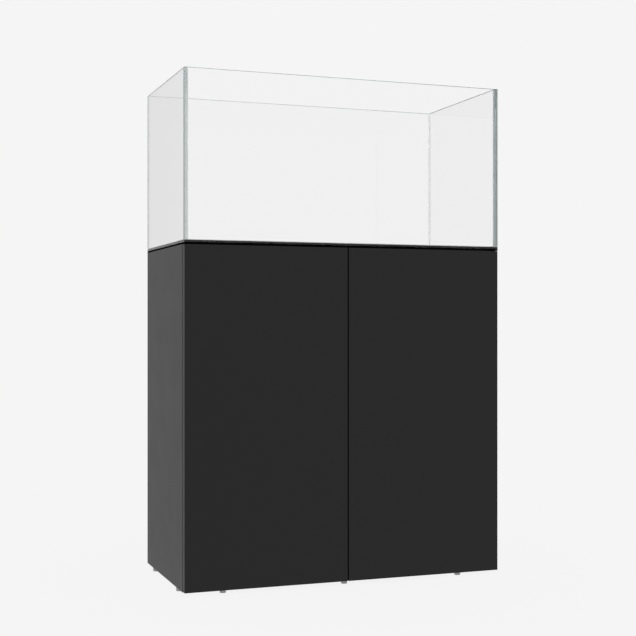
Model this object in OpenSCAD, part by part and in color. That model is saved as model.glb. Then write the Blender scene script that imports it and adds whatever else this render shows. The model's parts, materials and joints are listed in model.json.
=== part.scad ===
// Rimless glass aquarium on a two-door cabinet stand. Millimetres, Z up, the floor is z = 0.
// The origin is the centre of the footprint, and the doors face -Y.

/* [Overall] */
// Length of the cabinet and the tank along X
cab_len = 900; // [720:10:1200]
// Depth of the stand with its doors, and of the tank, along Y
cab_dep = 450; // [360:10:600]
// Height of the cabinet from its lower edge to the mat
cab_h = 898; // [720:2:1100]
// Height of the tank, base pane included
tank_h = 450; // [340:5:600]

/* [Panels] */
// Thickness of the sides, top, bottom and divider
panel_t = 18; // [15:0.5:25]
// Thickness of each door
door_t = 18; // [16:0.5:22]
// Thickness of the back panel
back_t = 8; // [3:0.5:12]
// Width of the back panel's seat in each side
rebate_w = 9; // [6:0.5:12]
// Gap between a closed door and the carcass
door_stand = 2; // [1.5:0.1:4]
// Gap between the two doors
door_gap = 3; // [2:0.5:6]
// Step from a side's face to the door's edge
reveal = 0.5; // [0:0.1:2]
// Gap above each door
door_top_gap = 1; // [0.5:0.5:5]
// Gap below each door
door_low_gap = 1.5; // [0.5:0.5:5]

/* [Shelves] */
// Thickness of a shelf
shelf_t = 16; // [12:0.5:22]
// Height of a shelf's underside over the bottom panel
shelf_z = 330; // [200:2:420]
// Gap at each end and behind a shelf
shelf_gap = 1.2; // [0.5:0.1:3]
// Setback of a shelf's front edge from the carcass front
shelf_set = 25; // [10:1:80]
// Radius of a shelf pin
pin_r = 2.5; // [2:0.1:3.5]
// Depth of a shelf pin's hole
pin_deep = 7; // [5:0.5:8]
// Length of a pin's seat under the shelf
seat_l = 8; // [6:0.5:14]
// Thickness of a pin's seat
seat_t = 6; // [5.5:0.5:10]
// Distance of the pin rows from the shelf's front and back edges
pin_in = 40; // [20:1:120]
// Step between the pin holes
pin_step = 32; // [20:1:50]

/* [Tank] */
// Thickness of the wall panes
glass_t = 10; // [6:0.5:15]
// Thickness of the base pane
base_t = 6; // [6:0.5:15]
// Thickness of the bond between panes
bond = 0.8; // [0.4:0.1:1.5]
// Leg of the silicone fillet inside each corner
fillet = 4; // [2:0.5:8]
// Thickness of the levelling mat
mat_t = 4; // [2:0.5:8]

/* [Feet] */
// Height of a glide
glide_h = 10.5; // [6:0.5:20]
// Radius of a glide
glide_r = 8.25; // [5:0.25:8.75]
// Edge radius of a glide
glide_e = 1.5; // [0.5:0.25:3]
// Distance of the inner glides from the cabinet's ends
glide_end = 110.5; // [80:0.5:180]
// Distance of the inner glides behind the carcass front and before its back
glide_set = 12; // [10:0.5:60]
// Distance of the glides under a side from that side's ends
glide_side = 73.5; // [40:0.5:120]
// Radius of a glide's nail
nail_r = 1.2; // [0.8:0.1:2]
// Depth of a nail in the panel
nail_deep = 12; // [8:0.5:14]

/* [Hinges] */
// Radius of the hinge cup
cup_r = 17.5; // [17.5:0.1:17.5]
// Depth of the hinge cup in the door
cup_deep = 14; // [14:0.1:14.5]
// Wall of the hinge cup
cup_wall = 0.8; // [0.7:0.1:0.9]
// Floor of the hinge cup
cup_floor = 0.6; // [0.5:0.1:0.7]
// Thickness of the cup's flange
flange_t = 0.9; // [0.6:0.1:1.1]
// Distance of the outer hinges from a door's ends
hinge_end = 108; // [80:1:200]
// Radius of the hinge pins
hpin_r = 1.5; // [1.2:0.1:1.6]
// Running clearance of the hinge pins
hpin_c = 0.05; // [0.02:0.01:0.1]
// Width of a hinge link between its eyes
link_w = 3.6; // [3:0.1:3.8]
// Setback of the mounting plate's screws from the carcass front
plate_set = 37; // [37:0.5:40]
// Thickness of the mounting plate
plate_t = 2.5; // [2:0.1:3]
// Radius of the plate's screws
euro_r = 2.4; // [2:0.1:2.5]
// Depth of the plate's screws in the side
euro_deep = 11; // [8:0.5:12]

/* [Latches] */
// Width of a push latch's housing
latch_w = 16; // [12:0.5:24]
// Height of a push latch's housing
latch_h = 13; // [11:0.5:20]
// Length of a push latch's housing
latch_l = 58; // [40:1:80]
// Radius of a latch plunger
plunger_r = 4; // [3:0.25:4.5]
// Running clearance of a plunger
plunger_c = 0.1; // [0.05:0.01:0.1]
// Travel of a plunger when it is pressed
press = 3; // [1:0.5:5]
// Distance of the latch from the divider's face
latch_in = 20; // [12:1:60]

/* [Ports] */
// Inner radius of a hose port's ring
port_r = 27.5; // [15:0.5:40]
// Wall of a port's ring
port_wall = 2.4; // [1.5:0.1:4]
// Width of a port ring's flange
port_flange = 5; // [3:0.5:10]
// Thickness of a port ring's flange
port_ft = 1.6; // [1:0.1:3]
// Distance of a port's centre under the cabinet's top
port_down = 120; // [80:1:300]

/* [Fasteners] */
// Radius of a cam
cam_r = 7.5; // [6:0.1:8]
// Height of a cam
cam_h = 12.5; // [10:0.1:13]
// Distance of a cam's centre from the panel's end
cam_in = 34; // [24:0.5:40]
// Distance of the cams from the carcass front and back
cam_set = 60; // [50:1:120]
// Radius of a cam bolt's shank
bolt_r = 3.5; // [2.5:0.1:4]
// Radius of a cam bolt's thread
thread_r = 2.5; // [2:0.1:3]
// Depth of the thread in the side
thread_deep = 11; // [8:0.5:13]
// Radius of a back screw
bscrew_r = 1.6; // [1:0.1:2]
// Depth of a back screw past the back panel
bscrew_deep = 20; // [12:0.5:24]
// Clearance round a fixed fastener
fit = 0.05; // [0.02:0.01:0.1]

/* [Hidden] */
$fn = 48;
hl = cab_len / 2;
hd = cab_dep / 2;
// Carcass front and the panels' back ends
yf = -hd + door_t + door_stand;
yb = hd - back_t;
z0 = glide_h;
z1 = z0 + cab_h;
zm = z1 + mat_t;
zg = zm + base_t + bond;
zt = zm + tank_h;
inner = hl - panel_t;
half_t = panel_t / 2;
shz = z0 + panel_t + shelf_z;
door_l = hl - reveal - door_gap / 2;
door_z = z0 + door_low_gap;
door_h = cab_h - door_low_gap - door_top_gap;
hinge_z = [door_z + hinge_end, door_z + door_h / 2, door_z + door_h - hinge_end];
// Hinge pivots from the side's outer face and the carcass front: arm pivot, then cup pivot
yd = -door_stand;
pa = [35, yd - 10.1];
pb = [14.15, yd - 6.9];
cup_x = 22.5;
cup_in = cup_r - cup_wall;
pilot_x = cup_x + 9.5;
pilot_z = 24;
pilot_r = 1.6;
// Space between the two plates of a link, and over both, along the pin
link_in = 4.2;
link_out = 6;
ear_in = 6.5;
ear_out = 8.1;
latch_x = half_t + latch_in + latch_w / 2;
latch_z = z1 - panel_t - latch_h / 2;
strike_t = 1;
touch = 0.3;
plunge_y = yf - door_stand + strike_t + touch;
plunge_l = latch_l - press - 6;
port_x = (half_t + inner) / 2;
port_z = z1 - port_down;
bump_r = 3;
bump_x = door_gap / 2 + (half_t - door_gap / 2) / 2;
bump_z = [door_z + 60, door_z + door_h / 2 + 60, door_z + door_h - 60];
pin_y = [yf + shelf_set + pin_in, yb - shelf_gap - pin_in];
cam_y = [yf + cam_set, yb - cam_set];
glide_y = [yf + glide_set, hd - glide_set - door_t - door_stand];
side_y = [yf + glide_side, hd - glide_side];
in_x = [-(hl - glide_end), 0, hl - glide_end];
back_x = [-hl + 90, -port_x, port_x, hl - 90];

// ---- helpers ----
module flip() { mirror([1, 0, 0]) children(); }

module box(a, b) { translate(a) cube(b - a); }

// A round bar along X, Y or Z from a point, toward the positive side
module bar_x(p, r, l) { translate(p) rotate([0, 90, 0]) cylinder(r = r, h = l); }
module bar_y(p, r, l) { translate(p) rotate([-90, 0, 0]) cylinder(r = r, h = l); }
module bar_z(p, r, l) { translate(p) cylinder(r = r, h = l); }

// Hinge coordinates: x from the side's outer face, y from the carcass front
module at_hinges() {
  for (z = hinge_z) translate([-hl, yf, z]) children();
}

// ---- carcass ----
module side_body() {
  difference() {
    box([-hl, yf, z0], [-inner, hd, z1]);
    // Seat of the back panel
    box([-hl + rebate_w, yb, z0 - 1], [-inner + 1, hd + 1, z1 + 1]);
    pin_holes(-inner - pin_deep - fit);
    at_hinges() for (s = [-1, 1])
      bar_x([panel_t - euro_deep - fit, plate_set, s * 16], euro_r + fit, euro_deep + 1);
    for (y = cam_y, z = [z0 + half_t, z1 - half_t])
      bar_x([-inner - thread_deep - fit, y, z], thread_r + fit, thread_deep + 1);
    for (y = side_y)
      bar_z([-hl + half_t, y, z0 - 1], nail_r + fit, nail_deep + 1 + fit);
  }
}

// Rows of shelf pin holes, cut from x inward by a pin's depth
module pin_holes(x) {
  for (y = pin_y, i = [-2:2])
    bar_x([x, y, shz - seat_t / 2 + i * pin_step], pin_r + fit, pin_deep + fit + 0.01);
}

module left_side() { color([0.17, 0.17, 0.17]) side_body(); }
module right_side() { color([0.17, 0.17, 0.17]) flip() side_body(); }

module bottom_panel() {
  color([0.2, 0.2, 0.2]) difference() {
    box([-inner, yf, z0], [inner, yb, z0 + panel_t]);
    cam_cuts(z0 - 1, z0 + half_t, cam_h + 1 + fit);
    for (x = in_x, y = glide_y)
      bar_z([x, y, z0 - 1], nail_r + fit, nail_deep + 1 + fit);
    for (x = back_x)
      bar_y([x, yb - bscrew_deep - fit, z0 + half_t], bscrew_r + fit, bscrew_deep + 1);
  }
}

module top_panel() {
  color([0.2, 0.2, 0.2]) difference() {
    box([-inner, yf, z1 - panel_t], [inner, yb, z1]);
    cam_cuts(z1 - panel_t - 1, z1 - half_t, cam_h + 1 + fit);
    for (x = back_x)
      bar_y([x, yb - bscrew_deep - fit, z1 - half_t], bscrew_r + fit, bscrew_deep + 1);
  }
}

// Cam pockets and bolt holes of one panel
module cam_cuts(z, zb, h) {
  for (s = [-1, 1], y = cam_y) {
    bar_z([s * (inner - cam_in), y, z], cam_r + fit, h);
    scale([s, 1, 1]) bar_x([inner - cam_in, y, zb], bolt_r + fit, cam_in + 1);
  }
}

module centre_divider() {
  color([0.2, 0.2, 0.2]) difference() {
    box([-half_t, yf, z0 + panel_t], [half_t, yb, z1 - panel_t]);
    pin_holes(-half_t - 0.01);
    pin_holes(half_t - pin_deep - fit);
    for (z = div_z())
      bar_y([0, yb - bscrew_deep - fit, z], bscrew_r + fit, bscrew_deep + 1);
  }
}
function div_z() = [z0 + cab_h / 3, z0 + cab_h * 2 / 3];

module back_panel() {
  color([0.23, 0.23, 0.23]) difference() {
    box([-hl + rebate_w, yb, z0], [hl - rebate_w, hd, z1]);
    for (s = [-1, 1]) {
      bar_y([s * port_x, yb - 1, port_z], port_r + port_wall + fit, back_t + 2);
      bar_y([s * port_x, hd - port_ft, port_z], port_r + port_wall + port_flange + fit, port_ft + 1);
    }
    at_back_screws() bar_y([0, -1, 0], bscrew_r + fit, back_t + 2);
    at_back_screws() translate([0, back_t - 2, 0]) rotate([-90, 0, 0])
      cylinder(r1 = bscrew_r + fit, r2 = bscrew_r + 2 + fit, h = 2.01);
  }
}

// Places of the back screws, at the back panel's inner face
module at_back_screws() {
  for (x = back_x, z = [z0 + half_t, z1 - half_t]) translate([x, yb, z]) children();
  for (z = div_z()) translate([0, yb, z]) children();
}

module back_screws() {
  color([0.6, 0.6, 0.6]) at_back_screws() union() {
    bar_y([0, -bscrew_deep, 0], bscrew_r, bscrew_deep + back_t - 2);
    translate([0, back_t - 2, 0]) rotate([-90, 0, 0])
      cylinder(r1 = bscrew_r, r2 = bscrew_r + 2, h = 2);
  }
}

module port_ring() {
  color([0.1, 0.1, 0.1]) translate([0, 0, port_z]) difference() {
    union() {
      bar_y([port_x, yb, 0], port_r + port_wall, back_t);
      bar_y([port_x, hd - port_ft, 0], port_r + port_wall + port_flange, port_ft);
    }
    bar_y([port_x, yb - 1, 0], port_r, back_t + 2);
  }
}
module left_port_ring() { flip() port_ring(); }
module right_port_ring() { port_ring(); }

module cam_locks() {
  color([0.62, 0.62, 0.64])
    for (s = [-1, 1], y = cam_y, z = [z0, z1 - panel_t])
      translate([s * (inner - cam_in), y, z]) difference() {
        cylinder(r = cam_r, h = cam_h);
        // Cross slot for the driver
        box([-4, -0.8, -1], [4, 0.8, 2]);
        box([-0.8, -4, -1], [0.8, 4, 2]);
      }
}

module cam_bolts() {
  color([0.7, 0.7, 0.6])
    for (s = [-1, 1], y = cam_y, z = [z0 + half_t, z1 - half_t]) scale([s, 1, 1]) union() {
      bar_x([inner - cam_in + cam_r + 0.2, y, z], bolt_r, cam_in - cam_r - 0.2);
      bar_x([inner - 1, y, z], thread_r, thread_deep + 1);
    }
}

// ---- shelves ----
module shelf_body() {
  color([0.2, 0.2, 0.2])
    box([-inner + shelf_gap, yf + shelf_set, shz],
        [-half_t - shelf_gap, yb - shelf_gap, shz + shelf_t]);
}
module left_shelf() { shelf_body(); }
module right_shelf() { flip() shelf_body(); }

// A pin with a flat seat, in a hole that opens toward +X
module shelf_pin() {
  bar_x([-pin_deep, 0, -seat_t / 2], pin_r, pin_deep + 1);
  box([0, -seat_t / 2, -seat_t], [seat_l, seat_t / 2, 0]);
}

module shelf_pins() {
  color([0.75, 0.75, 0.75]) for (y = pin_y) {
    translate([-inner, y, shz]) shelf_pin();
    translate([inner, y, shz]) flip() shelf_pin();
    translate([-half_t, y, shz]) flip() shelf_pin();
    translate([half_t, y, shz]) shelf_pin();
  }
}

// ---- doors ----
module door_body() {
  color([0.13, 0.13, 0.13]) difference() {
    box([-hl + reveal, -hd, door_z], [-hl + reveal + door_l, -hd + door_t, door_z + door_h]);
    at_hinges() {
      bar_y([cup_x, yd - cup_deep - fit, 0], cup_r + fit, cup_deep + 1);
      for (s = [-1, 1])
        bar_y([pilot_x, yd - 10, s * pilot_z], pilot_r + fit, 11);
    }
  }
}
module left_door() { door_body(); }
module right_door() { flip() door_body(); }

module bumpers() {
  color([0.8, 0.8, 0.8])
    for (z = bump_z) bar_y([-bump_x, yf + yd, z], bump_r, door_stand - touch);
}
module left_bumpers() { bumpers(); }
module right_bumpers() { flip() bumpers(); }

// ---- concealed hinges ----
module hinge_cup() {
  difference() {
    union() {
      bar_y([cup_x, yd - cup_deep, 0], cup_r, cup_deep + flange_t);
      bar_y([cup_x, yd, 0], cup_r + 1.5, flange_t);
      box([pilot_x - 5, yd, -pilot_z - 5], [pilot_x + 7, yd + flange_t, pilot_z + 5]);
    }
    bar_y([cup_x, yd - cup_deep + cup_floor, 0], cup_in, cup_deep + 5);
    for (s = [-1, 1])
      bar_y([pilot_x, yd - 1, s * pilot_z], pilot_r + fit, 5);
  }
  // Ears that carry the cup's pin
  for (s = [-1, 1]) difference() {
    translate([0, 0, s * (ear_in + ear_out) / 2 - (ear_out - ear_in) / 2])
      box([pb[0] - 3.2, yd - cup_deep + cup_floor / 2, 0], [pb[0] + 3.2, pb[1] + 3, ear_out - ear_in]);
    bar_z([pb[0], pb[1], -ear_out - 1], hpin_r + hpin_c, 2 * ear_out + 2);
  }
}
module hinge_cups() { color([0.7, 0.7, 0.72]) at_hinges() hinge_cup(); }
module left_hinge_cups() { hinge_cups(); }
module right_hinge_cups() { flip() hinge_cups(); }

module cup_screws() {
  color([0.6, 0.6, 0.62]) at_hinges() for (s = [-1, 1]) {
    bar_y([pilot_x, yd - 9.8, s * pilot_z], pilot_r, 9.8 + flange_t);
    bar_y([pilot_x, yd + flange_t, s * pilot_z], 3, 0.7);
  }
}
module left_cup_screws() { cup_screws(); }
module right_cup_screws() { flip() cup_screws(); }

// Half a link's width, square to the line through its pivots
link_n = [pa[1] - pb[1], pb[0] - pa[0]] * link_w / 2 / norm(pb - pa);

module link_plate() {
  linear_extrude(link_out - link_in) difference() {
    union() {
      translate(pa) circle(r = 2.6);
      translate(pb) circle(r = 2.9);
      polygon([pa + link_n, pb + link_n, pb - link_n, pa - link_n]);
    }
    translate(pa) circle(r = hpin_r + fit / 2);
    translate(pb) circle(r = hpin_r + fit / 2);
  }
}
module hinge_links() {
  color([0.75, 0.75, 0.77]) at_hinges() {
    translate([0, 0, link_in]) link_plate();
    translate([0, 0, -link_out]) link_plate();
  }
}
module left_hinge_links() { hinge_links(); }
module right_hinge_links() { flip() hinge_links(); }

module hinge_pins() {
  color([0.6, 0.6, 0.6]) at_hinges() {
    bar_z([pa[0], pa[1], -link_out - 0.5], hpin_r, 2 * link_out + 1);
    bar_z([pb[0], pb[1], -ear_out], hpin_r, 2 * ear_out);
  }
}
module left_hinge_pins() { hinge_pins(); }
module right_hinge_pins() { flip() hinge_pins(); }

arm_x = panel_t + plate_t;
module hinge_arm() {
  difference() {
    union() {
      // Tongue between the links
      bar_z([pa[0], pa[1], -link_in + 0.3], 2.75, 2 * link_in - 0.6);
      translate([0, 0, -link_in + 0.3]) linear_extrude(2 * link_in - 0.6)
        polygon([[pa[0] - 1.2, pa[1]], [pa[0] + 2.4, pa[1]], [pa[0] + 3.1, pa[1] + 2.4],
                 [pa[0] + 3.1, 4], [pa[0] - 1.2, 4]]);
      // Arm over the mounting plate
      translate([0, 0, -6.5]) linear_extrude(13)
        polygon([[pa[0] - 1.2, 2.4], [pa[0] + 3.1, 2.4], [pa[0] + 3.1, 8], [arm_x + 10, 26],
                 [arm_x + 10, plate_set + 24], [arm_x, plate_set + 24], [arm_x, 14]]);
    }
    bar_z([pa[0], pa[1], -link_out], hpin_r + hpin_c, 2 * link_out);
    // Hollow of the arm's channel, open toward the side panel
    box([arm_x - 1, plate_set - 12, -5.2], [arm_x + 8.6, plate_set + 21, 5.2]);
  }
}
module hinge_arms() { color([0.72, 0.72, 0.74]) at_hinges() hinge_arm(); }
module left_hinge_arms() { hinge_arms(); }
module right_hinge_arms() { flip() hinge_arms(); }

module hinge_plate() {
  difference() {
    union() {
      box([panel_t, plate_set - 15, -8], [arm_x, plate_set + 25, 8]);
      box([panel_t, plate_set - 6, -22], [arm_x, plate_set + 6, 22]);
      // Rib inside the arm's channel
      box([arm_x, plate_set - 10, -5], [arm_x + 4, plate_set + 19, 5]);
    }
    for (s = [-1, 1])
      bar_x([panel_t - 1, plate_set, s * 16], euro_r + fit, plate_t + 2);
  }
}
module hinge_plates() { color([0.68, 0.68, 0.7]) at_hinges() hinge_plate(); }
module left_hinge_plates() { hinge_plates(); }
module right_hinge_plates() { flip() hinge_plates(); }

module plate_screws() {
  color([0.6, 0.6, 0.62]) at_hinges() for (s = [-1, 1]) {
    bar_x([panel_t - euro_deep, plate_set, s * 16], euro_r, euro_deep + plate_t);
    bar_x([arm_x, plate_set, s * 16], 3.8, 1.8);
  }
}
module left_plate_screws() { plate_screws(); }
module right_plate_screws() { flip() plate_screws(); }

// ---- push latches ----
module latch_housing() {
  color([0.25, 0.25, 0.27]) difference() {
    box([latch_x - latch_w / 2, yf + 1, latch_z - latch_h / 2],
        [latch_x + latch_w / 2, yf + 1 + latch_l, latch_z + latch_h / 2]);
    bar_y([latch_x, yf - 1, latch_z], plunger_r + plunger_c, plunge_l + press + 4);
  }
}
module left_latch_housing() { flip() latch_housing(); }
module right_latch_housing() { latch_housing(); }

module latch_plunger() {
  color([0.4, 0.4, 0.42])
    bar_y([latch_x, plunge_y, latch_z], plunger_r, plunge_l);
}
module left_latch_plunger() { flip() latch_plunger(); }
module right_latch_plunger() { latch_plunger(); }

module strike() {
  color([0.7, 0.7, 0.7]) bar_y([latch_x, yf + yd, latch_z], 6, strike_t);
}
module left_strike() { flip() strike(); }
module right_strike() { strike(); }

// ---- tank ----
module levelling_mat() { color([0.08, 0.08, 0.08]) box([-hl, -hd, z1], [hl, hd, zm]); }

glass_c = [0.8, 0.9, 0.9, 0.35];
module tank_base() { color(glass_c) box([-hl, -hd, zm], [hl, hd, zm + base_t]); }
module long_pane() { box([-hl, -hd, zg], [hl, -hd + glass_t, zt]); }
module tank_front() { color(glass_c) long_pane(); }
module tank_back() { color(glass_c) mirror([0, 1, 0]) long_pane(); }
module end_pane() {
  box([-hl, -hd + glass_t + bond, zg], [-hl + glass_t, hd - glass_t - bond, zt]);
}
module tank_left() { color(glass_c) end_pane(); }
module tank_right() { color(glass_c) flip() end_pane(); }

ix = hl - glass_t;
iy = hd - glass_t;
module tank_seams() {
  color([0.75, 0.8, 0.8]) union() {
    // Bond under the walls
    translate([0, 0, zm + base_t]) linear_extrude(bond) difference() {
      square([2 * hl, 2 * hd], center = true);
      square([2 * ix, 2 * iy], center = true);
    }
    // Bond and fillet up each corner
    for (sx = [-1, 1], sy = [-1, 1]) scale([sx, sy, 1]) {
      box([ix, iy - bond, zg - 0.01], [hl, iy, zt - 1]);
      translate([0, 0, zm + base_t]) linear_extrude(zt - zm - base_t - 6)
        polygon([[ix, iy], [ix - fillet, iy], [ix, iy - fillet]]);
    }
    // Fillet along each lower edge
    for (sy = [-1, 1]) scale([1, sy, 1])
      translate([-ix, 0, zm + base_t]) rotate([90, 0, 90]) linear_extrude(2 * ix)
        polygon([[iy, 0], [iy - fillet, 0], [iy, fillet]]);
    for (sx = [-1, 1]) scale([sx, 1, 1])
      translate([0, iy, zm + base_t]) rotate([90, 0, 0]) linear_extrude(2 * iy)
        polygon([[ix, 0], [ix - fillet, 0], [ix, fillet]]);
  }
}

// ---- feet ----
module at_glides() {
  for (x = in_x, y = glide_y) translate([x, y, 0]) children();
  for (s = [-1, 1], y = side_y) translate([s * (hl - half_t), y, 0]) children();
}

module glides() {
  color([0.5, 0.5, 0.5]) at_glides() difference() {
    rotate_extrude() union() {
      square([glide_r - glide_e, glide_h]);
      translate([0, glide_e]) square([glide_r, glide_h - glide_e]);
      translate([glide_r - glide_e, glide_e]) circle(r = glide_e);
    }
    bar_z([0, 0, 3], nail_r + fit, glide_h);
  }
}

module glide_nails() {
  color([0.65, 0.65, 0.65]) at_glides() bar_z([0, 0, 3], nail_r, glide_h - 3 + nail_deep);
}

left_side();
right_side();
bottom_panel();
top_panel();
centre_divider();
back_panel();
left_port_ring();
right_port_ring();
back_screws();
cam_locks();
cam_bolts();
left_shelf();
right_shelf();
shelf_pins();
left_door();
right_door();
left_bumpers();
right_bumpers();
left_hinge_cups();
right_hinge_cups();
left_cup_screws();
right_cup_screws();
left_hinge_links();
right_hinge_links();
left_hinge_pins();
right_hinge_pins();
left_hinge_arms();
right_hinge_arms();
left_hinge_plates();
right_hinge_plates();
left_plate_screws();
right_plate_screws();
left_latch_housing();
right_latch_housing();
left_latch_plunger();
right_latch_plunger();
left_strike();
right_strike();
levelling_mat();
tank_base();
tank_front();
tank_back();
tank_left();
tank_right();
tank_seams();
glides();
glide_nails();
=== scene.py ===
"""Looks for a rimless glass aquarium on a black two-door cabinet."""

import json
import math

import bmesh
import bpy
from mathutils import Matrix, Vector


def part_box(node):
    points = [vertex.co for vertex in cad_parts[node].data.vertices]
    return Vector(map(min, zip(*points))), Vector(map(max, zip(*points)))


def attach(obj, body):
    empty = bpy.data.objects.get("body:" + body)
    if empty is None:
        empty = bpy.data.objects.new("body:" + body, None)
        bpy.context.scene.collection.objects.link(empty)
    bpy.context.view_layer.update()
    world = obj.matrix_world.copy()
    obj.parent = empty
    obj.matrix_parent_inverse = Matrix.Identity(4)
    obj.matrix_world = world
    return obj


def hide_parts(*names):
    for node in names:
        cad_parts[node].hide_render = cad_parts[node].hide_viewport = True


bl_info = {
    "name": "Aquarium on stand",
    "version": (1, 0, 0),
    "blender": (4, 5, 0),
    "location": "View3D > Sidebar > Aquarium",
    "description": "Builds the panes, panels and fittings of an aquarium on its cabinet",
    "category": "Object",
}

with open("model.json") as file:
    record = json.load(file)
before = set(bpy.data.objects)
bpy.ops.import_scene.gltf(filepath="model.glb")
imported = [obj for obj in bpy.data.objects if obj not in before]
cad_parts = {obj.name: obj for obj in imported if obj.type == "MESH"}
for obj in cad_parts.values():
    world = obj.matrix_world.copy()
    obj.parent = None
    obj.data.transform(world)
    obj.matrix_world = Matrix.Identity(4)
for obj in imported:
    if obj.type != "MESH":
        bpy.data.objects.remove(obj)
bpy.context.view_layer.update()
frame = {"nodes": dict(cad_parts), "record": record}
MM = 0.001
SIDES = ("left", "right")
# Sockets of a Mix node that mixes colours
MIX_FACTOR, MIX_A, MIX_B, MIX_COLOUR = 0, 6, 7, 2
# Vertices of a CAD mesh closer than this are one vertex
SAME_PLACE = 0.002 * MM
# Edges of a fitting that bend by more than this, in degrees, are rounded or stay sharp
SHARP = 35
# Air left between a bond, a fillet or the base pane and what it lies against
CLEARANCE = 0.03 * MM
# Material slots of a pane, and the finish in each
FACE, EDGE, BONDED, MAT, BASE_EDGE, RIM = range(6)
PANE_FINISHES = (
    "low_iron_glass",
    "glass_edge",
    "bonded_glass_edge",
    "foam_mat",
    "base_edge",
    "glass_rim",
)
# Material slots of a board
BOARD_FACE, BOARD_BAND, BOARD_RAW = range(3)
# Fittings of one side: node, radius of its edges in millimetres, how it was made, bevel segments
SIDE_FITTINGS = (
    ("hinge_pins", 0.2, "_turned", 2),
    ("latch_housing", 0.8, "_moulded", 2),
    ("latch_plunger", 0.6, "_moulded", 2),
    ("strike", 0.25, "_pressed", 2),
    ("port_ring", 0.5, "_moulded", 2),
    ("bumpers", 0.8, "_domed", 4),
)


# ---- small helpers ----


def hex_colour(code):
    """A linear opaque colour from an sRGB hex value such as #1a1a1a."""
    parts = [int(code[i : i + 2], 16) / 255 for i in (1, 3, 5)]
    linear = [c / 12.92 if c <= 0.04045 else ((c + 0.055) / 1.055) ** 2.4 for c in parts]
    return (*linear, 1.0)


def add_node(tree, kind, inputs=None, **modes):
    """Adds one node. inputs maps a socket's name or number to a value or to a socket."""
    node = tree.nodes.new(kind)
    for name, value in modes.items():
        setattr(node, name, value)
    for key, value in (inputs or {}).items():
        if isinstance(value, bpy.types.NodeSocket):
            tree.links.new(value, node.inputs[key])
        else:
            node.inputs[key].default_value = value
    return node


def colour_property(name, description, code):
    return bpy.props.FloatVectorProperty(
        name=name,
        description=description,
        subtype="COLOR",
        size=4,
        min=0,
        max=1,
        default=hex_colour(code),
    )


def length_property(name, description, millimetres):
    return bpy.props.FloatProperty(
        name=name,
        description=description,
        subtype="DISTANCE",
        unit="LENGTH",
        min=0,
        default=millimetres * MM,
    )


def factor_property(name, description, share):
    return bpy.props.FloatProperty(
        name=name, description=description, subtype="FACTOR", min=0, max=1, default=share
    )


def settings():
    return bpy.context.scene.aquarium


def finish_piece(obj, body, slot, *nodes):
    """Puts one finished piece on its body and hides the CAD nodes it stands for. slot is not used.
    """
    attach(obj, body)
    if nodes:
        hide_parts(*nodes)
    return obj


def mesh_object(name, bm, *materials):
    mesh = bpy.data.meshes.new(name)
    bm.to_mesh(mesh)
    bm.free()
    obj = bpy.data.objects.new(name, mesh)
    bpy.context.scene.collection.objects.link(obj)
    for material in materials:
        mesh.materials.append(material)
    return obj


def applied(obj):
    """The same object with its modifiers turned into plain mesh."""
    graph = bpy.context.evaluated_depsgraph_get()
    graph.update()
    mesh = bpy.data.meshes.new_from_object(obj.evaluated_get(graph))
    obj.modifiers.clear()
    obj.data = mesh
    mesh.name = obj.name
    return obj


def body_of_node(node):
    bodies = frame["record"]["behaviour"]["bodies"]
    return next(body for body, members in bodies.items() if node in members)


def slot_of_node(node):
    parts = frame["record"]["subparts"]
    return next(part["material_slot"] for part in parts if part["node"] == node)


def merged_mesh(node):
    """A CAD node's mesh as a bmesh, its doubles merged."""
    bm = bmesh.new()
    bm.from_mesh(frame["nodes"][node].data)
    bmesh.ops.remove_doubles(bm, verts=bm.verts, dist=SAME_PLACE)
    return bm


def merged_copy(node):
    """A CAD node's mesh as a bmesh of whole flat faces."""
    bm = merged_mesh(node)
    bmesh.ops.dissolve_limit(
        bm,
        angle_limit=math.radians(0.5),
        use_dissolve_boundaries=False,
        verts=bm.verts,
        edges=bm.edges,
    )
    return bm


# ---- materials ----


def new_material(name, **values):
    """A material of one Principled shader, with the given sockets set on it."""
    material = bpy.data.materials.new(name)
    material.use_nodes = True
    tree = material.node_tree
    shader = tree.nodes["Principled BSDF"]
    for socket, value in values.items():
        shader.inputs[socket.replace("_", " ")].default_value = value
    return material, tree, shader


def grain(tree, size, detail=3.0, stretch=(1, 1, 1)):
    """Noise on Object coordinates whose blotches are about size metres across."""
    place = add_node(tree, "ShaderNodeTexCoord")
    stretched = add_node(
        tree,
        "ShaderNodeMapping",
        {"Vector": place.outputs["Object"], "Scale": stretch},
    )
    return add_node(
        tree,
        "ShaderNodeTexNoise",
        {
            "Vector": stretched.outputs["Vector"],
            "Scale": 1 / size,
            "Detail": detail,
            "Roughness": 0.55,
        },
    )


def vary_roughness(tree, shader, noise, low, high):
    """Roughness from low to high over the range that noise mostly stays in."""
    spread = add_node(
        tree,
        "ShaderNodeMapRange",
        {
            "Value": noise.outputs["Fac"],
            "From Min": 0.3,
            "From Max": 0.7,
            "To Min": low,
            "To Max": high,
        },
    )
    tree.links.new(spread.outputs["Result"], shader.inputs["Roughness"])


def vary_colour(tree, shader, noise, dark, light):
    blend = add_node(
        tree,
        "ShaderNodeMix",
        {MIX_FACTOR: noise.outputs["Fac"], MIX_A: dark, MIX_B: light},
        data_type="RGBA",
    )
    tree.links.new(blend.outputs[MIX_COLOUR], shader.inputs["Base Color"])


def raise_bump(tree, shader, height, depth, strength):
    bump = add_node(
        tree,
        "ShaderNodeBump",
        {"Height": height, "Distance": depth, "Strength": strength},
    )
    tree.links.new(bump.outputs["Normal"], shader.inputs["Normal"])


def shade(colour, factor):
    return (*[min(1.0, c * factor) for c in colour[:3]], 1.0)


# ---- the finishes ----


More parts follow.
